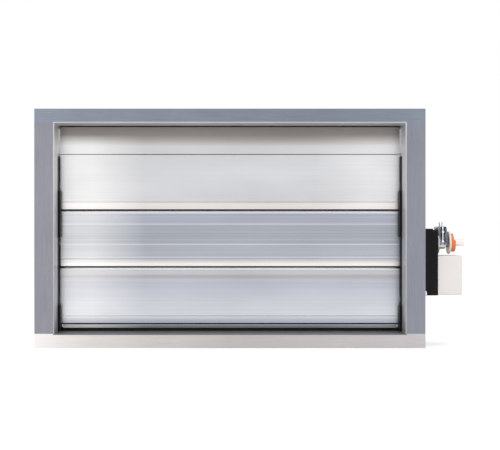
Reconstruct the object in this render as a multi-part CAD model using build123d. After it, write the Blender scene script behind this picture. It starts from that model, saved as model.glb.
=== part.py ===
"""Volume control damper: a rectangular opposed-blade damper for a ventilation duct.

Three hollow aluminium blades turn about horizontal axes in a frame of four channel rails.
Moulded gears in the right-hand rail mesh from blade to blade, so that neighbours turn
opposite ways, and an electric actuator turns the middle blade's shaft.

X runs along the blades, +Y along the air flow from the front flange, +Z is up.
The origin is the centre of the duct opening in the plane of the front flange.
Millimetres throughout.
"""
from build123d import *
import os
from math import acos, cos, pi, radians, sin, tan

os.makedirs("parts", exist_ok=True)

# ---- duct opening and frame rails
opening_width = 600.0
opening_height = 360.0
frame_depth = 125.0
rail_wall = 2.0
side_flange = 34.0              # from the duct wall to the outer edge, side rails
cap_flange = 24.5               # the same, top and bottom rails
lip_depth = 8.0                 # return lip along each flange's outer edge
port_outer_radius = 5.0         # screw ports in the side rails
port_bore_radius = 2.1
port_slit = 1.4
port_gap = 4.8                  # port centre from the inner faces of web and flange
corner_screw_radius = 2.05
corner_screw_length = 18.0
head_spread = 2.0               # pan heads: radius, height and edge round
head_rise = 1.15                # as multiples of the shank's radius
head_round = 0.69

# ---- blades, measured from each blade's own axis
blade_pitch = 100.0
blade_half_thickness = 8.0
blade_skin = 1.5
blade_lower_reach = 41.25
joint_gap = 0.35                # a shut blade's gasket to the next blade's edge
blade_flat_half = 14.0          # half height of the flat part of the rear face
edge_rear = 1.0                 # rear face at the two edges, behind the axis
nose_bevel = 1.2
band_height = 12.5              # closing band along the lower edge
band_setback = 1.0
band_groove = 0.7
blade_end_gap = 1.8             # blade end to duct wall
middle_end_float = 0.6          # middle blade sits this much nearer to the drive side
rib_thickness = 1.5
rib_up = 32.0
rib_down = 23.0
lower_edge_solid = 7.0          # solid metal that holds the gasket's stem

# ---- edge gaskets
gasket_width = 3.0
gasket_height = 3.15
gasket_stem = 2.0
gasket_stem_depth = 4.5
gasket_round = 1.2

# ---- pivots, bushes and gears
shaft_radius = 6.0
running_clearance = 0.05
seat_clearance = 0.05
flat_depth = 4.9                # drive flat, above the shaft's axis
tube_wall = 1.6                 # round tube inside the blade
pivot_insert = 32.0             # length of a pivot inside its blade
bush_radius = 8.0
bush_flange_radius = 11.0
bush_flange_thickness = 1.5
clip_thickness = 1.2
clip_outer_radius = 9.0
clip_groove_radius = 5.2
clip_mouth = 7.0
pivot_tail = 1.3                # pivot beyond its clip
end_play = 0.5                  # bush to gear or clip
gear_teeth = 40
gear_width = 8.0
gear_hub_radius = 11.0
gear_hub_length = 22.0
gear_hub_step = 10.0            # hub's inner end to the toothed rim
gear_rim = 7.0
gear_web = 3.0
gear_holes = 6
gear_hole_radius = 8.5
gear_backlash = 0.45
gear_addendum = 0.8             # in modules
pressure_angle = 20.0

# ---- moulded side strips with the lands that the blade ends close against
strip_width = 48.0
strip_thickness = 0.8
strip_over_axis = 51.0          # strip's top above the top axis
strip_floor_gap = 1.0           # strip's lower end above the opening's bottom
strip_round = 2.5
land_height = 4.0               # land's face above the duct wall
land_start = 9.0                # land's end from a blade axis
land_clearance = 0.3
land_round = 1.5

# ---- fixed closing panel over the top blade, and sill under the bottom blade
panel_thickness = 2.0
panel_seam = 0.5
panel_flange_depth = 22.0
panel_lip_depth = 12.9          # lip behind the blade's upper edge
panel_lip_height = 9.0
panel_foam = 2.0
rivet_count = 5                 # and as many sill screws
rivet_edge = 6.0                # from the panel flange's rear edge
rivet_radius = 2.0
rivet_head_radius = 4.0
rivet_head_height = 1.1
sill_height = 4.4
sill_depth = 15.5
sill_gap = 0.7                  # under the bottom blade's gasket
sill_end_gap = 7.0
sill_chamfer = 0.6
sill_seal_height = 5.5
seal_inset = 1.5                # both seals, from the edges of what they back
sill_screw_radius = 1.8
sill_roof = 1.0                 # metal left over each screw hole
screw_tip_gap = 0.2
row_end = 30.0                  # first and last fastener of a row, from the blade's end

# ---- actuator and its plate, measured from the drive axis where they follow it
plate_thickness = 2.0
plate_side_gap = 1.0
plate_above_axis = 47.0
plate_below_axis = 115.0
plate_screw_drop = 86.5
plate_screw_radius = 2.4
plate_screw_inset = 5.0
plate_screw_tail = 2.0
plate_corner = 4.0
plate_hub_gap = 1.0
plate_head_height = 2.6
plate_head_round = 1.2
plate_head_slot = (8.0, 1.2, 1.0)  # length, width and depth
housing_width = 66.0            # along the air flow
base_depth = 29.0               # along the shaft
base_top = 24.6                 # above the drive axis
base_bottom = 91.6              # below the drive axis
base_step_depth = 8.5
base_step_height = 2.2
housing_wall = 2.4
housing_round = 3.0
cover_depth = 42.3
cover_top = 22.4                # below the drive axis
cover_inset = 0.6
cover_post_radius = 4.2
cover_post_inset = 6.0
cover_screw_radius = 1.5
cover_screw_head = 2.8
cover_screw_grip = 11.0         # thread in the base
cover_round = 1.6
head_recess = 2.5
head_sink = 0.6                 # head's top under the cover's face
cross_slot = (3.6, 0.8, 0.6)    # length, width and depth
gearbox_half_width = 22.0
gearbox_top_gap = 5.0
gearbox_reach = 14.0            # into the cover
gearbox_round = 3.0
motor_radius = 10.5
motor_length = 22.0
motor_rise = 14.0               # above the housing's bottom
motor_side = 6.0
motor_out = 2.0                 # motor's axis beyond the base's face
board_thickness = 1.6
board_end_gap = 12.0
board_clearance = 4.1           # behind a pressed button
chip_height = 5.0
chip_width = 6.0
chips = ((-14.0, 8.0, 9.0), (10.0, 18.0, 12.0), (-6.0, 26.0, 7.0))  # depth, rise and size
hub_neck_radius = 13.0
hub_neck_clearance = 0.3
hub_disc_radius = 20.0
hub_disc_gap = 2.8              # base face to the hub's disc
hub_disc_thickness = 3.2
hub_tube_radius = 8.2
hub_chamfer = 0.6
hub_plate_gap = 2.0             # neck's inner end, beyond the plate
carrier_gap = 1.7
carrier_radius = 19.8
carrier_round = 0.8
carrier_boss = 3.0              # boss wall round the shaft
carrier_thickness = 3.5
indicator_gap = 0.5
indicator_radius = 16.0
indicator_lobe_base = 1.8
indicator_lobe_top = 4.5        # thicker lobe's upper edge, above the axis
indicator_disc = 4.5
indicator_step = 3.0
shaft_stub = 16.0               # shaft beyond the indicator
pin_radius = 2.4
pin_length = 12.0
pin_drop = 83.0
pin_slot_gap = 0.1
pin_slot_rise = 4.0
pin_slot_wall = 2.0
pin_end_gap = 0.6
gland_radius = 7.5
gland_nut = 4.0
gland_thread_radius = 5.0
gland_length = 9.0
gland_bore = 2.9
gland_shoulder = 1.2
gland_tip_wall = 1.6
gland_rise = 18.0               # above the housing's bottom

# ---- spindle clamp
yoke_half_width = 16.5
yoke_top = 28.3
yoke_bottom = -2.0
yoke_top_span = (1.5, 17.8)     # from the base's face, at the yoke's top
yoke_bottom_span = (7.0, 21.3)
yoke_floor = 0.5
yoke_round = 2.0
yoke_disc_gap = 0.3
clamp_fit = 0.1
pocket_width = 8.4
pocket_depth = 7.8
stud_out = 11.9                 # stud's axis beyond the base's face
stud_radius = 2.0
stud_chamfer = 0.7
stud_below_jaw = 0.5
stud_spacing = 24.8
stud_top = 36.2
nut_size = 7.0                  # across flats
nut_height = 3.4
lock_nut_height = 17.5          # lock nut's seat above the axis
jaw_outer_radius = 11.0
jaw_width = 10.6
jaw_ring_top = -3.0
jaw_ear_top = -3.4
jaw_ear_height = 4.6
jaw_ear_reach = 15.6

# ---- controls on the actuator's outer face
button_radius = 5.5
button_flange = 7.5
button_proud = 3.0
button_travel = 2.5
switch_radius = 7.0
switch_flange = 9.0
switch_proud = 2.0
control_clearance = 0.3
control_flange = 2.0
control_flange_gap = 0.4
button_round = 1.0
switch_round = 0.6
switch_slot = (1.8, 10.0, 1.5)  # width, length and depth
button_drop = 38.0              # below the drive axis
switch_drop = 68.0

# ---- worked out from the sizes above
half_width = opening_width / 2
half_height = opening_height / 2
outer_half_width = half_width + side_flange
axis_depth = frame_depth / 2
blade_upper_reach = blade_pitch - blade_lower_reach - gasket_height - joint_gap
sill_underside = sill_seal_height - half_height
sill_top = sill_underside + sill_height
bottom_axis_height = sill_top + sill_gap + gasket_height + blade_lower_reach
axis_heights = [bottom_axis_height + blade_pitch * i for i in (2, 1, 0)]
drive_height = axis_heights[1]
blade_front = axis_depth - blade_half_thickness
blade_half_length = half_width - blade_end_gap
strip_face = half_width - strip_thickness
web_outer = half_width + rail_wall
bush_end = web_outer + bush_flange_thickness
gear_start = bush_end + end_play
gear_end = gear_start + gear_hub_length
plate_outer = outer_half_width - rail_wall
base_face = plate_outer + base_depth
cover_face = base_face + cover_depth
hub_disc_end = base_face + hub_disc_gap + hub_disc_thickness
carrier_start = base_face + yoke_bottom_span[1] + carrier_gap
indicator_start = carrier_start + carrier_thickness + indicator_gap
shaft_end = indicator_start + indicator_disc + indicator_step + shaft_stub
stud_x = base_face + stud_out
stud_offsets = (-stud_spacing / 2, stud_spacing / 2)
port_centre = rail_wall + port_gap
panel_bottom = axis_heights[0] + blade_upper_reach + panel_seam
panel_lip_bottom = panel_bottom + panel_thickness - panel_lip_height
low = (Align.MIN, Align.MIN)
parts = {}


def along_x(sketch, start, end):
    """A section drawn as (depth, height), run along X."""
    return extrude(Plane.YZ.offset(start) * sketch, amount=end - start)


def rod(radius, start, end, depth=axis_depth, height=0.0):
    return along_x(Pos(depth, height) * Circle(radius), start, end)


def pin_up(radius, x, depth, start, end):
    """A round pin along Z."""
    return extrude(Pos(x, depth, start) * Circle(radius), amount=end - start)


def block(x, depth, height):
    """A block from three (low, high) pairs."""
    size = [b - a for a, b in (x, depth, height)]
    return Pos(x[0], depth[0], height[0]) * Box(*size, align=(Align.MIN,) * 3)


def rect(u, w):
    """A rectangle from two (low, high) pairs."""
    return Pos(u[0], w[0]) * Rectangle(u[1] - u[0], w[1] - w[0], align=low)


# ------------------------------------------------------------------ frame
def channel(flange):
    """Rail section: u runs away from the duct wall, v from the front flange to the rear."""
    section = rect((0, rail_wall), (0, frame_depth))
    for front in (0, frame_depth - rail_wall):
        section += rect((0, flange), (front, front + rail_wall))
    lip_start = flange - rail_wall
    section += rect((lip_start, flange), (0, lip_depth))
    section += rect((lip_start, flange), (frame_depth - lip_depth, frame_depth))
    return section


def screw_ports():
    """Two split round ports in the channel's inner corners, and their bores."""
    solid = Sketch()
    bores = Sketch()
    for depth, corner in ((port_centre, rail_wall), (frame_depth - port_centre, frame_depth - rail_wall)):
        solid += Pos(port_centre, depth) * Circle(port_outer_radius)
        solid += rect((rail_wall / 2, port_centre), sorted((corner, depth)))
        bores += Pos(port_centre, depth) * Circle(port_bore_radius)
        slit_end = port_centre + port_outer_radius + 1
        bores += rect((port_centre, slit_end), (depth - port_slit / 2, depth + port_slit / 2))
    return solid, bores


def side_rail(side):
    solid, bores = screw_ports()
    section = channel(side_flange) + solid - bores
    rail = extrude(Pos(half_width, 0, -half_height) * section, amount=opening_height)
    for height in axis_heights:
        rail -= rod(bush_radius + seat_clearance, half_width - 1, web_outer + 1, height=height)
    if side > 0:
        for depth in plate_screw_depths():
            rail -= rod(plate_screw_radius + seat_clearance, plate_outer - 1, outer_half_width + 1,
                        depth, plate_screw_height())
        return rail
    return mirror(rail, Plane.YZ)


def cap_rail(side):
    """Top rail for side +1, bottom rail for side -1, both full width."""
    profile = Plane.YZ * (Rot(0, 0, 90) * mirror(channel(cap_flange), Plane.XZ))
    rail = extrude(Pos(-outer_half_width, 0, half_height) * profile, amount=2 * outer_half_width)
    for x, depth in corner_screw_places():
        rail -= pin_up(corner_screw_radius + seat_clearance, x, depth, half_height - 1,
                       half_height + rail_wall + 1)
    holes = rivet_places() if side > 0 else sill_screw_places()
    radius = rivet_radius if side > 0 else sill_screw_radius
    for x, depth in holes:
        rail -= pin_up(radius + seat_clearance, x, depth, half_height - 1, half_height + rail_wall + 1)
    return rail if side > 0 else mirror(rail, Plane.XY)


def corner_screw_places():
    x = half_width + port_centre
    return [(s * x, d) for s in (-1, 1) for d in (port_centre, frame_depth - port_centre)]


def row_places(depth, half_span):
    step = 2 * half_span / (rivet_count - 1)
    return [(-half_span + i * step, depth) for i in range(rivet_count)]


def rivet_places():
    return row_places(blade_front + panel_flange_depth - rivet_edge, blade_half_length - row_end)


def sill_screw_places():
    return row_places(blade_front + sill_depth / 2, blade_half_length - row_end)


def pan_screw(radius, x, depth, seat, tip):
    """A pan-headed screw along Z whose head stands on the seat, on the far side from the tip."""
    away = 1 if seat > tip else -1
    head_radius = head_spread * radius
    head_height = head_rise * radius
    shank = pin_up(radius, x, depth, min(seat, tip), max(seat, tip))
    head = pin_up(head_radius, x, depth, min(seat, seat + away * head_height),
                  max(seat, seat + away * head_height))
    rim = head.edges().filter_by(GeomType.CIRCLE).sort_by(Axis.Z)[-1 if away > 0 else 0]
    return shank + fillet(rim, head_round * radius)


parts["top_rail"] = cap_rail(1)
parts["bottom_rail"] = cap_rail(-1)


def corner_screws():
    seat = half_height + rail_wall
    top = [pan_screw(corner_screw_radius, x, d, seat, seat - corner_screw_length) for x,
           d in corner_screw_places()]
    return top + [mirror(s, Plane.XY) for s in top]


parts["corner_screws"] = corner_screws()


# ------------------------------------------------------------------ side strips
def land_outline(axis_above, axis_below, rear):
    """One land, from below one blade's axis to above the next one's, as (depth, height)."""
    top = axis_above - land_start
    bottom = axis_below + land_start
    half = strip_width / 2
    if not rear:
        return rect((axis_depth - half, blade_front - land_clearance), (bottom, top))
    face = axis_depth + blade_half_thickness + land_clearance
    edge = axis_depth + max(edge_rear, gasket_width / 2) + land_clearance
    back = axis_depth + half
    points = [(back, bottom), (face, bottom), (face, axis_below + blade_flat_half)]
    points += [(edge, axis_below + blade_upper_reach), (edge, axis_above - blade_lower_reach)]
    points += [(face, axis_above - blade_flat_half), (face, top), (back, top)]
    return make_face(Polyline(*points, close=True))


def side_strip(side):
    """Thin strip let onto the duct wall, with lands that alternate from front to rear."""
    strip_top = axis_heights[0] + strip_over_axis
    strip_bottom = strip_floor_gap - half_height
    half = strip_width / 2
    plate = rect((axis_depth - half, axis_depth + half), (strip_bottom, strip_top))
    strip = along_x(fillet(plate.vertices(), strip_round), strip_face, half_width)
    land_face = half_width - land_height
    above = [axis_heights[0] + blade_pitch] + axis_heights
    below = axis_heights + [axis_heights[-1] - blade_pitch]
    for index, (upper, lower) in enumerate(zip(above, below)):
        outline = land_outline(upper, lower, rear=index % 2 == 0)
        clip = rect((0, frame_depth), (strip_bottom, panel_lip_bottom - land_clearance))
        land = along_x(outline & clip, land_face, half_width)
        ends = land.faces().sort_by(Axis.X)[0].edges().filter_by(Axis.Y)
        strip += chamfer([ends.sort_by(Axis.Z)[0], ends.sort_by(Axis.Z)[-1]], land_round)
    for height in axis_heights:
        strip -= rod(bush_radius + seat_clearance, strip_face - 1, half_width + 1, height=height)
    return strip if side > 0 else mirror(strip, Plane.YZ)


# ------------------------------------------------------------------ bushes, pivots and gears
def bushes(side):
    group = []
    for height in axis_heights:
        bush = rod(bush_radius, strip_face, bush_end, height=height)
        bush += rod(bush_flange_radius, web_outer, bush_end, height=height)
        bush -= rod(shaft_radius + running_clearance, strip_face - 1, bush_end + 1, height=height)
        group.append(bush if side > 0 else mirror(bush, Plane.YZ))
    return group


def d_section(radius, flat):
    """A round section with one flat on its upper side, about the origin."""
    return Circle(radius) & rect((-radius, radius), (-radius, flat))


def clip_groove(start, height):
    ring = rod(shaft_radius + 1, start, start + clip_thickness + 0.1, height=height)
    return ring - rod(clip_groove_radius, start - 1, start + clip_thickness + 1, height=height)


def flat_cut(start, end, height):
    above = rect((axis_depth - shaft_radius - 1, axis_depth + shaft_radius + 1),
                 (height + flat_depth, height + shaft_radius + 1))
    return along_x(above, start, end)


def drive_pivot(height, end, shift=0.0):
    """Right-hand pivot: in the blade's tube, through the bush and on through the gear."""
    blade_end = blade_half_length + shift
    pivot = rod(shaft_radius, blade_end - pivot_insert, end, height=height)
    pivot -= flat_cut(blade_end - pivot_insert - 1, blade_end, height)
    pivot -= flat_cut(gear_start, gear_end, height)
    return pivot - clip_groove(gear_end, height)


def plain_pivot(height, shift=0.0):
    """Left-hand pivot, held by a clip outside the bush."""
    blade_end = blade_half_length - shift
    clip_start = bush_end + end_play
    pivot = rod(shaft_radius, blade_end - pivot_insert, clip_start + 4 * clip_thickness, height=height)
    pivot -= flat_cut(blade_end - pivot_insert - 1, blade_end, height)
    return mirror(pivot - clip_groove(clip_start, height), Plane.YZ)


def clip(start, height):
    """A retaining clip, open on one side."""
    ring = Circle(clip_outer_radius) - Circle(clip_groove_radius)
    ring -= rect((0, clip_outer_radius + 1), (-clip_mouth / 2, clip_mouth / 2))
    return along_x(Pos(axis_depth, height) * ring, start, start + clip_thickness)


def blade_clips(height):
    return [clip(gear_end, height), mirror(clip(bush_end + end_play, height), Plane.YZ)]


def gear_outline(first_tooth):
    """Involute gear outline about the origin; first_tooth is the first tooth's angle in degrees."""
    module = blade_pitch / gear_teeth
    pitch_radius = blade_pitch / 2
    base_radius = pitch_radius * cos(radians(pressure_angle))
    tip_radius = pitch_radius + gear_addendum * module
    root_radius = pitch_radius - module

    def half_angle(radius):
        roll = acos(base_radius / radius)
        pitch_roll = radians(pressure_angle)
        involute = (tan(pitch_roll) - pitch_roll) - (tan(roll) - roll)
        return pi / (2 * gear_teeth) - gear_backlash / (2 * blade_pitch) + involute

    def point(radius, angle):
        return (radius * cos(angle), radius * sin(angle))

    edges = []
    for tooth in range(gear_teeth):
        centre = radians(first_tooth + 360 / gear_teeth * tooth)
        following = centre + 2 * pi / gear_teeth
        rising = [point(r, centre - half_angle(r)) for r in (root_radius, pitch_radius, tip_radius)]
        falling = [point(r, centre + half_angle(r)) for r in (tip_radius, pitch_radius, root_radius)]
        next_root = point(root_radius, following - half_angle(root_radius))
        edges += [ThreePointArc(*rising), Line(rising[-1], falling[0])]
        edges += [ThreePointArc(*falling), Line(falling[-1], next_root)]
    return make_face(edges)


def gear(index):
    """Blade gear: toothed rim, thin web with round holes, and a long hub with a flatted bore."""
    height = axis_heights[index]
    pitch_angle = 360 / gear_teeth
    outline = gear_outline(90 if index % 2 == 0 else 90 + pitch_angle / 2)
    rim_start = gear_start + gear_hub_step
    rim_end = rim_start + gear_width
    rim_inner = blade_pitch / 2 - gear_rim
    wheel = along_x(outline, rim_start, rim_end)
    recess = Circle(rim_inner) - Circle(gear_hub_radius)
    recess_depth = (gear_width - gear_web) / 2
    wheel -= along_x(recess, rim_start, rim_start + recess_depth)
    wheel -= along_x(recess, rim_end - recess_depth, rim_end)
    hole_circle = (rim_inner + gear_hub_radius) / 2
    for spot in PolarLocations(hole_circle, gear_holes):
        wheel -= along_x(spot * Circle(gear_hole_radius), rim_start, rim_end)
    wheel += along_x(Circle(gear_hub_radius), gear_start, gear_end)
    bore = d_section(shaft_radius + seat_clearance, flat_depth + seat_clearance)
    wheel -= along_x(bore, gear_start - 1, gear_end + 1)
    return Pos(0, axis_depth, height) * wheel


# ------------------------------------------------------------------ blades
def blade_outline():
    """Blade section about its axis: u to the rear, w up; flat front, tapered rear."""
    front = -blade_half_thickness
    band_top = band_height - blade_lower_reach
    points = [(front, blade_upper_reach - nose_bevel), (front, band_top + band_groove)]
    points += [(front + band_groove, band_top), (front, band_top - band_groove)]
    points += [(front + band_setback, -blade_lower_reach), (edge_rear, -blade_lower_reach)]
    points += [(blade_half_thickness, -blade_flat_half), (blade_half_thickness, blade_flat_half)]
    points += [(edge_rear, blade_upper_reach), (front + nose_bevel, blade_upper_reach)]
    return make_face(Polyline(*points, close=True))


def blade_section():
    outline = blade_outline()
    cavity = offset(outline, amount=-blade_skin, kind=Kind.INTERSECTION)
    cavity -= Circle(shaft_radius + seat_clearance + tube_wall)
    span = (-2 * blade_half_thickness, 2 * blade_half_thickness)
    for rib in (rib_up, -rib_down):
        cavity -= rect(span, (rib - rib_thickness / 2, rib + rib_thickness / 2))
    cavity -= rect(span, (-blade_lower_reach, lower_edge_solid - blade_lower_reach))
    slot_half = gasket_stem / 2 + seat_clearance
    slot = rect((-slot_half, slot_half), (-blade_lower_reach - 1, gasket_stem_depth - blade_lower_reach))
    bore = d_section(shaft_radius + seat_clearance, flat_depth + seat_clearance)
    return outline - cavity - slot - bore


def gasket_section():
    bulb_bottom = -blade_lower_reach - gasket_height
    bulb = rect((-gasket_width / 2, gasket_width / 2), (bulb_bottom, -blade_lower_reach))
    bulb = fillet(bulb.vertices().sort_by(Axis.Y)[:2], gasket_round)
    stem_top = gasket_stem_depth - seat_clearance - blade_lower_reach
    return bulb + rect((-gasket_stem / 2, gasket_stem / 2),
                       (-blade_lower_reach - gasket_round / 2, stem_top))


def run_blade(section, height, shift):
    return along_x(Pos(axis_depth, height) * section, -blade_half_length + shift, blade_half_length + shift)


skin = blade_section()
gasket = gasket_section()
for index, name in enumerate(("top", "middle", "bottom")):
    axis_height = axis_heights[index]
    end_shift = middle_end_float if name == "middle" else 0.0
    parts[name + "_blade"] = run_blade(skin, axis_height, end_shift)
    parts[name + "_gasket"] = run_blade(gasket, axis_height, end_shift)
    parts[name + "_left_pivot"] = plain_pivot(axis_height, end_shift)
    parts[name + "_clips"] = blade_clips(axis_height)
    parts[name + "_gear"] = gear(index)
    if name == "middle":
        parts["drive_shaft"] = drive_pivot(axis_height, shaft_end, end_shift)
    else:
        parts[name + "_right_pivot"] = drive_pivot(axis_height, gear_end + clip_thickness + pivot_tail)


# ------------------------------------------------------------------ closing panel and sill
def closing_panel():
    top = half_height - panel_foam
    lip_rear = blade_front + panel_lip_depth
    section = rect((blade_front, blade_front + panel_thickness), (panel_bottom, top))
    section += rect((blade_front, blade_front + panel_flange_depth), (top - panel_thickness, top))
    section += rect((blade_front, lip_rear), (panel_bottom, panel_bottom + panel_thickness))
    section += rect((lip_rear - panel_thickness, lip_rear),
                    (panel_lip_bottom, panel_bottom + panel_thickness))
    panel = along_x(section, -blade_half_length, blade_half_length)
    for x, depth in rivet_places():
        panel -= pin_up(rivet_radius + seat_clearance, x, depth, top - panel_thickness - 1, top + 1)
    return panel


def seal_strip(back, bottom, top, radius, places):
    """A foam strip behind the blades' front plane, with a hole for each fastener."""
    section = rect((blade_front + seal_inset, back - seal_inset), (bottom, top))
    seal = along_x(section, -blade_half_length, blade_half_length)
    for x, depth in places:
        seal -= pin_up(radius + seat_clearance, x, depth, bottom - 1, top + 1)
    return seal


def panel_rivets():
    group = []
    lower = half_height - panel_foam - panel_thickness
    upper = half_height + rail_wall
    for x, depth in rivet_places():
        rivet = pin_up(rivet_radius, x, depth, lower, upper)
        rivet += pin_up(rivet_head_radius, x, depth, lower - rivet_head_height, lower)
        rivet += pin_up(rivet_head_radius, x, depth, upper, upper + rivet_head_height)
        group.append(rivet)
    return group


def sill_strip():
    section = rect((blade_front, blade_front + sill_depth), (sill_underside, sill_top))
    section = chamfer(section.vertices().sort_by(Axis.Y)[-2:], sill_chamfer)
    half = half_width - sill_end_gap
    strip = along_x(section, -half, half)
    for x, depth in sill_screw_places():
        strip -= pin_up(sill_screw_radius + seat_clearance, x, depth, sill_underside - 1,
                        sill_top - sill_roof)
    return strip


def sill_screws():
    seat = -half_height - rail_wall
    tip = sill_top - sill_roof - screw_tip_gap
    return [pan_screw(sill_screw_radius, x, depth, seat, tip) for x, depth in sill_screw_places()]


parts["closing_panel"] = closing_panel()
parts["panel_seal"] = seal_strip(blade_front + panel_flange_depth, half_height - panel_foam, half_height,
                                 rivet_radius, rivet_places())
parts["panel_rivets"] = panel_rivets()
parts["sill_strip"] = sill_strip()
parts["sill_seal"] = seal_strip(blade_front + sill_depth, -half_height, sill_underside,
                                sill_screw_radius, sill_screw_places())
parts["sill_screws"] = sill_screws()


# ------------------------------------------------------------------ actuator plate
def plate_screw_depths():
    return (plate_screw_inset, frame_depth - plate_screw_inset)


def plate_screw_height():
    return drive_height - plate_screw_drop


def mounting_plate():
    """Steel plate behind the right rail's lips, bridging the channel."""
    inner = plate_outer - plate_thickness
    side = rail_wall + plate_side_gap
    outline = rect((side, frame_depth - side),
                   (drive_height - plate_below_axis, drive_height + plate_above_axis))
    outline = fillet(outline.vertices(), plate_corner)
    plate = along_x(outline, inner, plate_outer)
    plate -= rod(hub_neck_radius + plate_hub_gap, inner - 1, plate_outer + 1, height=drive_height)
    for depth in plate_screw_depths():
        plate -= rod(plate_screw_radius + seat_clearance, inner - 1, plate_outer + 1, depth,
                     plate_screw_height())
    plate -= rod(pin_radius, inner - 1, plate_outer + 1, height=drive_height - pin_drop)
    return plate


def plate_screws():
    group = []
    for depth in plate_screw_depths():
        height = plate_screw_height()
        screw = rod(plate_screw_radius, plate_outer - plate_thickness - plate_screw_tail, outer_half_width,
                    depth, height)
        face = outer_half_width + plate_head_height
        head = rod(head_spread * plate_screw_radius, outer_half_width, face, depth, height)
        head = fillet(head.edges().sort_by(Axis.X)[-1], plate_head_round)
        length, width, slot_depth = plate_head_slot
        head -= block((face - slot_depth, face + 1), (depth - length / 2, depth + length / 2),
                      (height - width / 2, height + width / 2))
        group.append(screw + head)
    return group


def anti_rotation_pin():
    return rod(pin_radius, plate_outer - plate_thickness, plate_outer + pin_length,
               height=drive_height - pin_drop)


parts["right_rail"] = side_rail(1)
parts["left_rail"] = side_rail(-1)
parts["right_strip"] = side_strip(1)
parts["left_strip"] = side_strip(-1)
parts["right_bushes"] = bushes(1)
parts["left_bushes"] = bushes(-1)
parts["mounting_plate"] = mounting_plate()
parts["plate_screws"] = plate_screws()
parts["anti_rotation_pin"] = anti_rotation_pin()

# ------------------------------------------------------------------ actuator housing
housing_front = axis_depth - housing_width / 2
housing_rear = axis_depth + housing_width / 2
housing_top = drive_height - cover_top
housing_bottom = drive_height - base_bottom


def post_places():
    inset = cover_post_inset
    return [(d, z) for d in (housing_front + inset, housing_rear - inset)
            for z in (housing_bottom + inset, housing_top - inset)]


def cavity_section():
    """Inside of the housing, around the four screw posts."""
    wall = housing_wall
    section = rect((housing_front + wall, housing_rear - wall), (housing_bottom + wall, housing_top - wall))
    for depth, height in post_places():
        section -= Pos(depth, height) * Circle(cover_post_radius)
        corner_depth = sorted((depth, housing_front if depth < axis_depth else housing_rear))
        corner_height = sorted((height, housing_bottom if height < (housing_top + housing_bottom) / 2 else housing_top))
        section -= rect(corner_depth, corner_height)
    return section


def actuator_base():
    top = drive_height + base_top
    outline = fillet(rect((housing_front, housing_rear), (housing_bottom, top)).vertices(), housing_round)
    base = along_x(outline, plate_outer, base_face)
    base -= block((base_face - base_step_depth, base_face + 1), (housing_front - 1, housing_rear + 1),
                  (top - base_step_height, top + 1))
    base -= along_x(cavity_section(), plate_outer + housing_wall, base_face + 1)
    base -= rod(hub_neck_radius + hub_neck_clearance, plate_outer - 1, base_face + 1, height=drive_height)
    pin_height = drive_height - pin_drop
    slot_half = pin_radius + pin_slot_gap
    wall_half = slot_half + pin_slot_wall
    slot_top = pin_height + pin_slot_rise
    slot_end = plate_outer + pin_length + pin_end_gap
    slot = rect((axis_depth - slot_half, axis_depth + slot_half), (housing_bottom - 1, slot_top))
    wall_around = rect((axis_depth - wall_half, axis_depth + wall_half),
                       (housing_bottom + 1, slot_top + pin_slot_wall))
    base += along_x(wall_around, plate_outer + 1, plate_outer + pin_length + pin_slot_wall + 1)
    base -= along_x(slot, plate_outer - 1, slot_end)
    for depth, height in post_places():
        base -= rod(cover_screw_radius, base_face - cover_screw_grip - 1, base_face + 1, depth, height)
    gland = gland_centre()
    base -= Pos(gland[0], gland[1], gland[2]) * Rot(90, 0, 0) * Cylinder(gland_thread_radius, 12)
    return base


def gland_centre():
    return (plate_outer + base_depth / 2, housing_rear, housing_bottom + gland_rise)


def cable_gland():
    """Moulded cable inlet on the housing's rear face, with an open bore for the lead."""
    x, depth, height = gland_centre()
    turn = Rot(-90, 0, 0)
    nut = Pos(x, depth, height) * turn * extrude(RegularPolygon(gland_radius, 6), amount=gland_nut)
    dome = Cone(gland_radius - gland_shoulder, gland_bore + gland_tip_wall, gland_length - gland_nut,
                align=(Align.CENTER, Align.CENTER, Align.MIN))
    dome = Pos(x, depth + gland_nut, height) * turn * dome
    thread = Pos(x, depth - housing_wall - 1, height) * turn * Cylinder(
        gland_thread_radius, housing_wall + 1, align=(Align.CENTER, Align.CENTER, Align.MIN))
    bore = Pos(x, depth - housing_wall - 2, height) * turn * Cylinder(
        gland_bore, gland_length + 10, align=(Align.CENTER, Align.CENTER, Align.MIN))
    return nut + dome + thread - bore


def actuator_cover():
    inset = cover_inset
    outline = rect((housing_front + inset, housing_rear - inset), (housing_bottom + inset, housing_top))
    cover = along_x(fillet(outline.vertices(), housing_round), base_face, cover_face)
    cover = fillet(cover.faces().sort_by(Axis.X)[-1].edges(), cover_round)
    cover -= along_x(cavity_section(), base_face - 1, cover_face - housing_wall)
    for depth, height in post_places():
        cover -= rod(cover_screw_radius + seat_clearance, base_face - 1, cover_face + 1, depth, height)
        cover -= rod(cover_screw_head + seat_clearance, cover_face - head_recess, cover_face + 1, depth,
                     height)
    inner = cover_face - housing_wall
    for radius, drop in ((button_radius, button_drop), (switch_radius, switch_drop)):
        cover -= rod(radius + control_clearance, inner - 1, cover_face + 1, height=drive_height - drop)
    return cover


def cover_screws():
    group = []
    for depth, height in post_places():
        screw = rod(cover_screw_radius, base_face - cover_screw_grip, cover_face - head_recess + 0.5,
                    depth, height)
        face = cover_face - head_sink
        head = rod(cover_screw_head, cover_face - head_recess, face, depth, height)
        length, width, slot_depth = cross_slot
        for turn in (0, 90):
            head -= Pos(face, depth, height) * Rot(turn, 0, 0) * Box(2 * slot_depth, length, width)
        group.append(screw + head)
    return group


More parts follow.
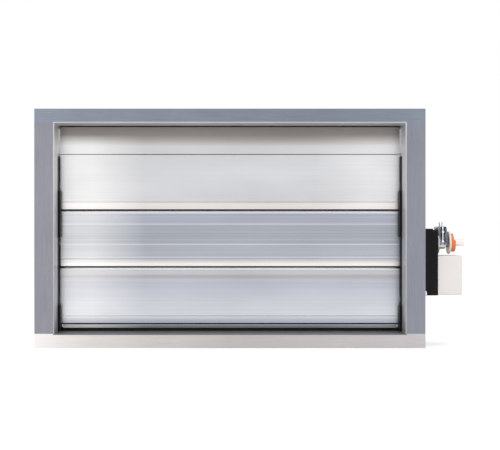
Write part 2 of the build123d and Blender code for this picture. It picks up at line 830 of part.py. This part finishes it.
def geared_motor():
    """Small motor standing on a closed gear block, both inside the housing."""
    motor_bottom = housing_bottom + motor_rise
    motor_top = motor_bottom + motor_length
    gearbox = block((plate_outer + housing_wall, base_face + gearbox_reach),
                    (axis_depth - gearbox_half_width, axis_depth + gearbox_half_width),
                    (motor_top, housing_top - gearbox_top_gap))
    gearbox = fillet(gearbox.edges().filter_by(Axis.X), gearbox_round)
    motor_x = base_face + motor_out
    return gearbox + pin_up(motor_radius, motor_x, axis_depth - motor_side, motor_bottom, motor_top)


def circuit_board():
    """Board across the cover, behind the controls, with three blocks for its larger components."""
    edge = housing_wall + control_clearance
    front = cover_face - housing_wall - control_flange_gap - control_flange - button_travel - board_clearance
    back = front - board_thickness
    bottom = housing_bottom + board_end_gap
    top = housing_top - board_end_gap
    board = block((back, front), (housing_front + edge, housing_rear - edge), (bottom, top))
    for depth, rise, size in chips:
        board += block((back - chip_height, back), (axis_depth + depth, axis_depth + depth + size),
                       (bottom + rise - chip_width, bottom + rise))
    return board


def control(radius, flange_radius, proud, edge, height):
    """A round control in the cover's face, kept in by a flange behind the wall."""
    flange_face = cover_face - housing_wall - control_flange_gap
    stem = rod(radius, flange_face, cover_face + proud, height=height)
    stem = fillet(stem.edges().sort_by(Axis.X)[-1], edge)
    return stem + rod(flange_radius, flange_face - control_flange, flange_face, height=height)


def direction_switch():
    height = drive_height - switch_drop
    knob = control(switch_radius, switch_flange, switch_proud, switch_round, height)
    width, length, depth = switch_slot
    face = cover_face + switch_proud
    return knob - block((face - depth, face + 1), (axis_depth - width / 2, axis_depth + width / 2),
                        (height - length / 2, height + length / 2))


parts["actuator_base"] = actuator_base()
parts["cable_gland"] = cable_gland()
parts["actuator_cover"] = actuator_cover()
parts["cover_screws"] = cover_screws()
parts["geared_motor"] = geared_motor()
parts["circuit_board"] = circuit_board()
parts["release_button"] = control(button_radius, button_flange, button_proud, button_round,
                                  drive_height - button_drop)
parts["direction_switch"] = direction_switch()


# ------------------------------------------------------------------ spindle clamp
def at_drive(shape):
    return Pos(0, axis_depth, drive_height) * shape


def bore_through(start, end):
    return along_x(Circle(shaft_radius + seat_clearance), start, end)


def clamp_hub():
    """Zinc hub: neck in the housing, disc outside it and a tube that the clamp grips."""
    hub = along_x(Circle(hub_neck_radius), plate_outer + hub_plate_gap, base_face + hub_disc_gap)
    disc = along_x(Circle(hub_disc_radius), base_face + hub_disc_gap, hub_disc_end)
    hub += chamfer(disc.edges().filter_by(GeomType.CIRCLE), hub_chamfer)
    hub += along_x(Circle(hub_tube_radius), hub_disc_end, carrier_start)
    return at_drive(hub - bore_through(plate_outer, carrier_start + 1))


def yoke_side():
    """Yoke outline seen from the front, as (x, height above the axis)."""
    corners = [(base_face + yoke_bottom_span[0], yoke_bottom),
               (base_face + yoke_bottom_span[1], yoke_bottom)]
    corners += [(base_face + yoke_top_span[1], yoke_top), (base_face + yoke_top_span[0], yoke_top)]
    return make_face(Polyline(*corners, close=True))


def clamp_yoke():
    """Upper jaw: a wedge-shaped block with two open pockets for the studs and nuts."""
    profile = fillet(yoke_side().vertices().sort_by(Axis.Y)[-2:], yoke_round)
    yoke = extrude(Plane.XZ.offset(-yoke_half_width) * profile, amount=2 * yoke_half_width)
    yoke -= along_x(Circle(hub_tube_radius + clamp_fit), base_face, carrier_start)
    pocket_x = (stud_x - pocket_width / 2, stud_x + pocket_width / 2)
    for side in (-1, 1):
        outer = side * (yoke_half_width + 1)
        inner = side * (yoke_half_width - pocket_depth)
        yoke -= block(pocket_x, (min(outer, inner), max(outer, inner)), (yoke_floor, yoke_top + 1))
    for y in stud_offsets:
        yoke -= pin_up(stud_radius + clamp_fit, stud_x, y, yoke_bottom - 1, yoke_floor + 1)
    disc_side = along_x(Circle(hub_disc_radius + yoke_disc_gap), base_face, hub_disc_end + 2 * clamp_fit)
    return at_drive(yoke - disc_side)


def clamp_jaw():
    """Lower jaw: a half ring with two ears that hold the studs."""
    jaw_x = (stud_x - jaw_width / 2, stud_x + jaw_width / 2)
    half_ring = Circle(jaw_outer_radius) & rect((-jaw_outer_radius, jaw_outer_radius),
                                                (-jaw_outer_radius, jaw_ring_top))
    ears = rect((-jaw_ear_reach, jaw_ear_reach), (jaw_ear_top - jaw_ear_height, jaw_ear_top))
    section = half_ring + ears - Circle(hub_tube_radius + clamp_fit)
    jaw = along_x(section, *jaw_x)
    for y in stud_offsets:
        jaw -= pin_up(stud_radius, stud_x, y, -jaw_outer_radius, 0)
    return at_drive(jaw)


def clamp_studs():
    bottom = jaw_ear_top - jaw_ear_height - stud_below_jaw
    group = []
    for y in stud_offsets:
        stud = pin_up(stud_radius, stud_x, y, bottom, stud_top)
        group.append(at_drive(chamfer(stud.edges().sort_by(Axis.Z)[-1], stud_chamfer)))
    return group


def clamp_nuts():
    group = []
    for y in stud_offsets:
        for seat in (yoke_floor, lock_nut_height):
            nut = extrude(RegularPolygon(nut_size / 2, 6, major_radius=False), amount=nut_height)
            nut -= Cylinder(stud_radius, 3 * nut_height)
            group.append(at_drive(Pos(stud_x, y, seat) * nut))
    return group


def indicator_carrier():
    disc = along_x(Circle(carrier_radius), carrier_start, carrier_start + carrier_thickness)
    disc = fillet(disc.edges().filter_by(GeomType.CIRCLE), carrier_round)
    disc += along_x(Circle(shaft_radius + carrier_boss), carrier_start, indicator_start)
    return at_drive(disc - bore_through(carrier_start - 1, indicator_start + 1))


def position_indicator():
    """Orange ring with a thicker lower half that shows which way the blades stand."""
    disc = along_x(Circle(indicator_radius), indicator_start, indicator_start + indicator_disc)
    half = Circle(indicator_radius) & rect((-indicator_radius, indicator_radius),
                                           (-indicator_radius, indicator_lobe_top))
    disc += along_x(half, indicator_start + indicator_lobe_base,
                    indicator_start + indicator_disc + indicator_step)
    return at_drive(disc - bore_through(indicator_start - 1, indicator_start + 20))


parts["clamp_hub"] = clamp_hub()
parts["clamp_yoke"] = clamp_yoke()
parts["clamp_jaw"] = clamp_jaw()
parts["clamp_studs"] = clamp_studs()
parts["clamp_nuts"] = clamp_nuts()
parts["indicator_carrier"] = indicator_carrier()
parts["position_indicator"] = position_indicator()

for name, shape in parts.items():
    pieces = shape if isinstance(shape, list) else [shape]
    solids = [solid for piece in pieces for solid in piece.solids()]
    export_step(solids[0] if len(solids) == 1 else Compound(children=solids), f"parts/{name}.step")
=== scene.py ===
"""Looks of the volume control damper: finishes, small surface detail, light and camera."""
from math import pi

import bpy
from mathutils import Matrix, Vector


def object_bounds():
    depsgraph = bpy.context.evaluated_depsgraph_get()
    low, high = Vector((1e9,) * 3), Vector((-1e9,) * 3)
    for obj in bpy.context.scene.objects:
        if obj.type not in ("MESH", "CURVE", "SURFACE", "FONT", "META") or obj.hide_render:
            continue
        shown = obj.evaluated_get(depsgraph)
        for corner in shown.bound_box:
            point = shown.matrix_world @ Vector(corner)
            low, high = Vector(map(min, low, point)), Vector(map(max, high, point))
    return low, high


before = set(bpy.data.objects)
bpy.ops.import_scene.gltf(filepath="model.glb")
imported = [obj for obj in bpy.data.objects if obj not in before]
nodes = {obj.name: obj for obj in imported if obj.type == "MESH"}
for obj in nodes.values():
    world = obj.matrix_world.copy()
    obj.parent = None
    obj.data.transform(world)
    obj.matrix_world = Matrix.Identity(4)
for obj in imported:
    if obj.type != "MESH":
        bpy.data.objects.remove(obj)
cad_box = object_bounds()
scene = bpy.context.scene

# ---- camera: square on to the front flange
camera_distance = 1.86
focal_length = 78.45
sensor_width = 36.0
shift_right = 0.0402
shift_up = 0.0068

# ---- floor and sky: the glow and the seen level are for camera, glossy and transmission rays
floor_height = cad_box[0][2]
floor_gap = 0.0005
floor_reach = 6.0
floor_paint = (0.9, 0.9, 0.9, 1)
floor_glow = 0.45
sky_level = 0.62
seen_sky_level = 1.0

# ---- the opening, and where the blades' ends grow paler as a painted reflection of the side walls and their top darker as painted shadow and reflection of the top rail, from the middle
opening_half_width = 0.300
opening_half_height = 0.180
arris = 0.002
end_glow_start = 0.150
end_glow_full = 0.240
shade_start = 0.145
shade_full = 0.165


# ------------------------------------------------------------------ helpers
class Shader:
    """A material's node tree with one Principled shader, and short ways to add nodes."""

    def __init__(self, name):
        self.material = bpy.data.materials.new(name)
        self.material.use_nodes = True
        self.tree = self.material.node_tree
        self.base = self.tree.nodes["Principled BSDF"]

    def add(self, kind, inputs=None, **settings):
        node = self.tree.nodes.new(kind)
        for key, value in settings.items():
            setattr(node, key, value)
        for key, value in (inputs or {}).items():
            self.feed(node.inputs[key], value)
        return node

    def feed(self, socket, value):
        """A socket takes either another node's output or a plain value."""
        if isinstance(value, bpy.types.NodeSocket):
            self.tree.links.new(value, socket)
        else:
            socket.default_value = value

    def constants(self, **values):
        for key, value in values.items():
            self.base.inputs[key.replace("_", " ")].default_value = value

    def place(self, scale=(1, 1, 1)):
        """Object coordinates, stretched."""
        spot = self.add("ShaderNodeTexCoord")
        return self.add("ShaderNodeMapping", {"Vector": spot.outputs["Object"], "Scale": scale}).outputs[0]

    def noise(self, scale, stretch=(1, 1, 1), detail=3.0, roughness=0.55):
        settings = {"Vector": self.place(stretch), "Scale": scale, "Detail": detail, "Roughness": roughness}
        return self.add("ShaderNodeTexNoise", settings).outputs["Fac"]

    def math(self, operation, a, b=0.0):
        node = self.add("ShaderNodeMath", operation=operation)
        self.feed(node.inputs[0], a)
        self.feed(node.inputs[1], b)
        return node.outputs[0]

    def span(self, value, low, high, start=0.0, end=1.0):
        """Maps low..high of a value to start..end, clamped."""
        inputs = {"Value": value, "From Min": low, "From Max": high, "To Min": start, "To Max": end}
        return self.add("ShaderNodeMapRange", inputs).outputs[0]

    def blend(self, factor, first, second):
        node = self.add("ShaderNodeMix", data_type="RGBA")
        self.feed(node.inputs[0], factor)
        for socket, value in ((node.inputs[6], first), (node.inputs[7], second)):
            self.feed(socket, value if isinstance(value, bpy.types.NodeSocket) else (*value, 1.0))
        return node.outputs[2]

    def ramp(self, value, stops):
        """Colour along a value, from (value, colour) stops in rising order."""
        low, high = stops[0][0], stops[-1][0]
        node = self.add("ShaderNodeValToRGB", {"Fac": self.span(value, low, high)})
        elements = node.color_ramp.elements
        elements[0].color = (*stops[0][1], 1.0)
        elements[1].color = (*stops[-1][1], 1.0)
        for place, color in stops[1:-1]:
            elements.new((place - low) / (high - low)).color = (*color, 1.0)
        return node.outputs["Color"]

    def scaled(self, color, factor):
        """A colour made lighter or darker by a factor."""
        node = self.add("ShaderNodeVectorMath", operation="SCALE")
        self.feed(node.inputs[0], color)
        self.feed(node.inputs["Scale"], factor)
        return node.outputs[0]

    def axis(self, index):
        spot = self.add("ShaderNodeTexCoord")
        return self.add("ShaderNodeSeparateXYZ", {"Vector": spot.outputs["Object"]}).outputs[index]

    def bump(self, height, distance, strength=1.0):
        node = self.add("ShaderNodeBump", {"Height": height, "Distance": distance, "Strength": strength})
        self.feed(self.base.inputs["Normal"], node.outputs[0])

    def color(self, value):
        self.feed(self.base.inputs["Base Color"], value)

    def roughness(self, value):
        self.feed(self.base.inputs["Roughness"], value)


def assign(material, *names):
    for name in names:
        for slot in nodes[name].material_slots:
            slot.material = material


# ------------------------------------------------------------------ materials
def display(red, green, blue):
    """Linear colour of a 0..255 display colour."""
    return tuple(((c / 255 + 0.055) / 1.055) ** 2.4 for c in (red, green, blue))


scuffed = display(215, 215, 218)
# painted reflection: the paler colour the blades' ends blend towards
painted_end_reflection = display(243, 242, 241)
grain_stretch = {"x": ((1, 60, 60), (1, 5, 5)), "z": ((60, 60, 1), (5, 5, 1))}


def in_opening(shader):
    """1 on the walls of the opening and on their front edge, 0 on the flanges."""
    across = shader.math("LESS_THAN", shader.math("ABSOLUTE", shader.axis(0)), opening_half_width + arris)
    upright = shader.math("LESS_THAN", shader.math("ABSOLUTE", shader.axis(2)), opening_half_height + arris)
    return shader.math("MULTIPLY", across, upright)


def rail_metal(name, face, wall, along, contrast=0.20):
    """Mill-finish extrusion: grain along one axis, faint blotches, scuffs, and plainer inner walls; face and
    wall colours ramp along the rail and by height as painted reflections and shade.
    """
    shader = Shader(name)
    stretch, fleck_stretch = grain_stretch[along]
    grain = shader.noise(14, stretch, detail=6, roughness=0.7)
    fine = shader.noise(60, stretch, detail=3)
    cloud = shader.noise(9, detail=4)
    tone = shader.math("ADD", shader.math("MULTIPLY", grain, 0.55), shader.math("MULTIPLY", fine, 0.25))
    tone = shader.math("ADD", tone, shader.math("MULTIPLY", cloud, 0.30))
    flecks = shader.span(shader.noise(170, fleck_stretch, detail=5), 0.66, 0.76, 0.0, 0.45)
    inside = in_opening(shader)
    # painted light: face colour along the rail, wall colour by height
    base = shader.blend(inside, shader.ramp(shader.axis(0), face), shader.ramp(shader.axis(2), wall))
    base = shader.scaled(base, shader.span(tone, 0.38, 0.72, 1 - contrast, 1 + contrast))
    shader.color(shader.blend(flecks, base, scuffed))
    shader.roughness(shader.span(grain, 0.3, 0.7, 0.42, 0.30))
    shader.bump(tone, 0.00006, 0.8)
    shader.feed(shader.base.inputs["Metallic"], shader.span(inside, 0.0, 1.0, 1.0, 0.3))
    return shader.material


def blade_metal(name, stops, line_contrast, ends, seed):
    """Bright extrusion with painted light: bands along its length painted by height as reflections, edge
    highlights and shade, fine die lines, soft smears, and ends painted paler as a reflection.
    """
    shader = Shader(name)
    spot = shader.add("ShaderNodeTexCoord").outputs["Object"]
    width, height = shader.axis(0), shader.axis(2)
    lines_at = shader.add("ShaderNodeMapping", {"Vector": spot, "Scale": (0.25, 1, 190),
                                           "Location": (seed, 0, seed * 3)})
    lines = shader.add("ShaderNodeTexNoise", {"Vector": lines_at.outputs[0], "Scale": 1.6, "Detail": 6.0,
                                         "Roughness": 0.75}).outputs["Fac"]
    smears_at = shader.add("ShaderNodeMapping", {"Vector": spot, "Scale": (3, 1, 9), "Rotation": (0, 0.5, 0),
                                            "Location": (seed * 2, 0, seed)})
    smears = shader.add("ShaderNodeTexNoise", {"Vector": smears_at.outputs[0], "Scale": 1.8,
                                          "Detail": 2.0}).outputs["Fac"]
    # painted reflection: the ends grow paler towards the side walls, but not inside the painted shadow at
    # the top
    left = shader.span(width, -end_glow_start, -end_glow_full, 0.0, ends[0])
    right = shader.span(width, end_glow_start, end_glow_full, 0.0, ends[1])
    unshaded = shader.span(height, shade_start, shade_full, 1.0, 0.0)
    glow = shader.math("MULTIPLY", shader.math("ADD", left, right), unshaded)
    # painted light: colour by height stands for reflections, highlights and shade, blended to the painted
    # end reflection
    base = shader.blend(glow, shader.ramp(height, stops), painted_end_reflection)
    tone = shader.math("MULTIPLY", shader.span(lines, 0.3, 0.7, 1 - line_contrast, 1 + line_contrast),
                  shader.span(smears, 0.3, 0.7, 0.95, 1.05))
    shader.color(shader.scaled(base, tone))
    shader.roughness(shader.span(lines, 0.3, 0.7, 0.34, 0.26))
    shader.bump(lines, 0.00003, 0.6)
    tangent = shader.add("ShaderNodeTangent", direction_type="RADIAL", axis="X")
    shader.feed(shader.base.inputs["Tangent"], tangent.outputs[0])
    shader.constants(Metallic=1.0, Anisotropic=0.6)
    return shader.material


def moulded(name, color, roughness=0.5, grain=700, relief=0.00003, variation=0.12, sheen=0.5):
    """Moulded plastic or rubber: a fine spark-eroded texture and slight tone variation."""
    shader = Shader(name)
    texture = shader.noise(grain, detail=2)
    patch = shader.noise(25, detail=3)
    darker = tuple(c * (1 - variation) for c in color)
    lighter = tuple(min(1.0, c * (1 + variation)) for c in color)
    shader.color(shader.blend(shader.span(patch, 0.35, 0.65), darker, lighter))
    shader.roughness(shader.span(texture, 0.3, 0.7, roughness - 0.05, roughness + 0.07))
    shader.bump(texture, relief)
    shader.constants(Specular_IOR_Level=sheen)
    return shader.material


def turned_metal(name, dark, light, roughness=0.25, scale=180, stretch=(4, 1, 1)):
    """Turned or plated metal with fine marks and duller patches."""
    shader = Shader(name)
    marks = shader.noise(scale, stretch, detail=4)
    patch = shader.noise(60, detail=3)
    shader.color(shader.blend(shader.span(patch, 0.3, 0.7), dark, light))
    shader.roughness(shader.span(marks, 0.3, 0.7, roughness - 0.05, roughness + 0.12))
    shader.bump(marks, 0.00002)
    shader.constants(Metallic=1.0)
    return shader.material


def spangled_zinc(name):
    """Hot-dip zinc sheet: crystal spangle."""
    shader = Shader(name)
    cells = shader.add("ShaderNodeTexVoronoi", {"Vector": shader.place(), "Scale": 110.0})
    shade = shader.add("ShaderNodeSeparateColor", {"Color": cells.outputs["Color"]}).outputs[0]
    cloud = shader.noise(20, detail=4)
    tone = shader.math("ADD", shader.math("MULTIPLY", shade, 0.5), shader.math("MULTIPLY", cloud, 0.5))
    shader.color(shader.blend(tone, (0.42, 0.44, 0.46), (0.70, 0.72, 0.74)))
    shader.roughness(shader.span(shade, 0.0, 1.0, 0.30, 0.46))
    shader.constants(Metallic=1.0)
    return shader.material


# painted light: the same extrusion gets separate face colours per rail, the bottom face paler at its left
# end, and inner walls darker towards the bottom, as painted reflections and shade
upright_wall_painted_shade = ((-0.18, display(165, 165, 168)), (0.0, display(180, 180, 183)),
                (0.18, display(198, 197, 199)))
cap_wall_painted_shade = ((-0.18, display(112, 112, 115)), (0.0, display(150, 150, 153)), (0.18, display(190, 190, 193)))
top_face_painted_light = ((-0.35, display(132, 138, 150)), (0.35, display(126, 133, 145)))
bottom_face_painted_light = ((-0.35, display(226, 222, 220)), (-0.22, display(199, 195, 192)),
               (0.0, display(178, 173, 171)), (0.35, display(182, 178, 179)))
side_face_painted_light = ((-0.35, display(134, 134, 142)), (0.35, display(131, 134, 144)))
assign(rail_metal("top_rail_finish_and_painted_light", top_face_painted_light, cap_wall_painted_shade, "x"), "top_rail")
assign(rail_metal("bottom_rail_finish_and_painted_light", bottom_face_painted_light, cap_wall_painted_shade, "x", 0.10), "bottom_rail")
assign(rail_metal("side_rail_finish_and_painted_light", side_face_painted_light, upright_wall_painted_shade, "z"), "left_rail", "right_rail")

# painted light along the three blades, by height in metres from the opening's middle: reflections, edge
# highlights and the shadow under the top rail, painted as colour bands
top_blade_painted_light = (
    (0.0330, display(213, 207, 204)), (0.0450, display(212, 207, 204)),
    (0.0470, display(203, 203, 206)), (0.1000, display(208, 209, 212)),
    (0.1440, display(205, 205, 207)), (0.1550, display(166, 161, 158)),
    (0.1635, display(142, 136, 133)), (0.1780, display(134, 129, 126)),
)
middle_blade_painted_light = (
    (-0.0670, display(216, 211, 208)), (-0.0585, display(214, 209, 206)),
    (-0.0575, display(172, 173, 177)), (-0.0560, display(190, 192, 197)),
    (-0.0500, display(188, 190, 196)), (-0.0490, display(168, 171, 179)),
    (-0.0295, display(166, 169, 177)), (-0.0280, display(196, 201, 210)),
    (-0.0265, display(164, 168, 177)), (0.0060, display(162, 166, 174)),
    (0.0075, display(193, 198, 206)), (0.0090, display(165, 168, 180)),
    (0.0250, display(167, 170, 182)), (0.0275, display(214, 217, 222)),
)
bottom_blade_painted_light = (
    (-0.1680, display(192, 197, 212)), (-0.1600, display(190, 195, 210)),
    (-0.1585, display(203, 206, 210)), (-0.1250, display(190, 193, 200)),
    (-0.0960, display(175, 178, 189)), (-0.0945, display(181, 179, 191)),
    (-0.0885, display(179, 178, 189)), (-0.0875, display(167, 167, 171)),
    (-0.0815, display(168, 168, 172)), (-0.0805, display(185, 185, 189)),
    (-0.0735, display(184, 184, 188)), (-0.0715, display(216, 217, 220)),
)
# painted shade: the sill strip is darker towards the bottom, and its ends are painted paler as a reflection,
# the left more
sill_painted_shade = ((-0.180, display(124, 123, 127)), (-0.165, display(132, 131, 135)))
assign(blade_metal("top_blade_finish_and_painted_light", top_blade_painted_light, 0.04, (0.70, 0.35), 1.3), "top_blade", "closing_panel")
assign(blade_metal("middle_blade_finish_and_painted_light", middle_blade_painted_light, 0.16, (0.50, 0.0), 5.1), "middle_blade")
assign(blade_metal("bottom_blade_finish_and_painted_light", bottom_blade_painted_light, 0.09, (0.36, 0.0), 8.7), "bottom_blade")
assign(blade_metal("sill_finish_and_painted_light", sill_painted_shade, 0.10, (0.45, 0.1), 3.3), "sill_strip")

assign(moulded("black_moulding", (0.0035, 0.0035, 0.004), 0.55, sheen=0.15),
       "left_strip", "right_strip", "top_gear", "middle_gear", "bottom_gear", "cable_gland")
assign(moulded("housing_black", (0.005, 0.0047, 0.0045), 0.6, sheen=0.15), "actuator_base")
assign(moulded("bush_moulding", (0.03, 0.03, 0.03), 0.4), "left_bushes", "right_bushes")
assign(moulded("gasket_rubber", (0.010, 0.010, 0.010), 0.75, grain=400, sheen=0.15),
       "top_gasket", "middle_gasket", "bottom_gasket", "panel_seal", "sill_seal")
assign(moulded("cover_moulding", (0.84, 0.80, 0.775), 0.5, variation=0.015), "actuator_cover")
assign(moulded("carrier_moulding", (0.86, 0.84, 0.78), 0.4, variation=0.03), "indicator_carrier")
assign(moulded("orange_moulding", (0.83, 0.21, 0.045), 0.35, variation=0.06), "position_indicator")
assign(moulded("control_moulding", (0.05, 0.05, 0.055), 0.45), "release_button", "direction_switch")
assign(moulded("board_laminate", (0.03, 0.16, 0.07), 0.4), "circuit_board")
assign(turned_metal("bright_steel", (0.60, 0.58, 0.57), (0.78, 0.76, 0.75)),
       "top_left_pivot", "middle_left_pivot", "bottom_left_pivot", "top_right_pivot", "bottom_right_pivot",
       "top_clips", "middle_clips", "bottom_clips", "anti_rotation_pin")
assign(turned_metal("shaft_steel", (0.74, 0.64, 0.62), (0.82, 0.72, 0.70), 0.45), "drive_shaft")
assign(turned_metal("plated_screws", (0.55, 0.56, 0.58), (0.75, 0.76, 0.78), 0.28),
       "corner_screws", "plate_screws", "panel_rivets", "sill_screws", "cover_screws",
       "clamp_studs", "clamp_nuts")
assign(turned_metal("clamp_plating", (0.07, 0.08, 0.10), (0.26, 0.29, 0.34), 0.20), "clamp_yoke")
assign(turned_metal("clamp_zinc", (0.36, 0.34, 0.32), (0.56, 0.54, 0.51), 0.35), "clamp_jaw", "clamp_hub")
assign(turned_metal("motor_can", (0.30, 0.30, 0.31), (0.42, 0.42, 0.43), 0.4), "geared_motor")
assign(spangled_zinc("spangled_zinc"), "mounting_plate")


# ------------------------------------------------------------------ stage, lights and camera
def white_for_seen_rays(tree):
    """Light Path: 1 for camera, glossy and transmission rays."""
    path = tree.nodes.new("ShaderNodeLightPath")
    total = path.outputs["Is Camera Ray"]
    for name in ("Is Glossy Ray", "Is Transmission Ray"):
        add = tree.nodes.new("ShaderNodeMath")
        add.operation = "MAXIMUM"
        tree.links.new(total, add.inputs[0])
        tree.links.new(path.outputs[name], add.inputs[1])
        total = add.outputs[0]
    return total


def make_world():
    world = bpy.data.worlds.new("studio")
    world.use_nodes = True
    tree = world.node_tree
    background = tree.nodes["Background"]
    background.inputs["Color"].default_value = (1, 1, 1, 1)
    factor = white_for_seen_rays(tree)
    strength = tree.nodes.new("ShaderNodeMapRange")
    tree.links.new(factor, strength.inputs["Value"])
    strength.inputs["To Min"].default_value = sky_level
    strength.inputs["To Max"].default_value = seen_sky_level
    tree.links.new(strength.outputs[0], background.inputs["Strength"])
    scene.world = world


def make_floor():
    """Pale floor that shows white but keeps a soft shadow."""
    mesh = bpy.data.meshes.new("floor")
    height = floor_height - floor_gap
    signs = ((-1, -1), (1, -1), (1, 1), (-1, 1))
    corners = [(x * floor_reach, y * floor_reach, height) for x, y in signs]
    mesh.from_pydata(corners, [], [(0, 1, 2, 3)])
    floor = bpy.data.objects.new("floor", mesh)
    scene.collection.objects.link(floor)
    material = bpy.data.materials.new("floor_paint")
    material.use_nodes = True
    tree = material.node_tree
    shader = tree.nodes["Principled BSDF"]
    shader.inputs["Base Color"].default_value = floor_paint
    shader.inputs["Roughness"].default_value = 0.9
    shader.inputs["Specular IOR Level"].default_value = 0.0
    shader.inputs["Emission Color"].default_value = (1, 1, 1, 1)
    lift = tree.nodes.new("ShaderNodeMath")
    lift.operation = "MULTIPLY"
    tree.links.new(white_for_seen_rays(tree), lift.inputs[0])
    lift.inputs[1].default_value = floor_glow
    tree.links.new(lift.outputs[0], shader.inputs["Emission Strength"])
    floor.data.materials.append(material)


def area_light(name, place, target, size, power):
    light = bpy.data.lights.new(name, "AREA")
    light.shape = "RECTANGLE"
    light.size, light.size_y = size
    light.energy = power
    lamp = bpy.data.objects.new(name, light)
    scene.collection.objects.link(lamp)
    lamp.location = place
    lamp.rotation_euler = (Vector(target) - Vector(place)).to_track_quat("-Z", "Y").to_euler()


def make_lights():
    centre = (0.0, 0.06, 0.0)
    area_light("left_softbox", (-1.5, -1.9, 0.6), centre, (0.9, 1.4), 10.0)
    area_light("right_softbox", (1.6, -1.8, 0.5), centre, (0.9, 1.4), 9.0)
    area_light("top_softbox", (0.0, -0.3, 2.0), centre, (2.0, 1.2), 16.0)


def make_camera():
    data = bpy.data.cameras.new("camera")
    data.lens = focal_length
    data.sensor_width = sensor_width
    data.shift_x = shift_right
    data.shift_y = shift_up
    camera = bpy.data.objects.new("camera", data)
    scene.collection.objects.link(camera)
    camera.location = (0.0, -camera_distance, 0.0)
    camera.rotation_euler = (pi / 2, 0, 0)
    scene.camera = camera


make_world()
make_floor()
make_lights()
make_camera()
scene.view_settings.view_transform = "Standard"
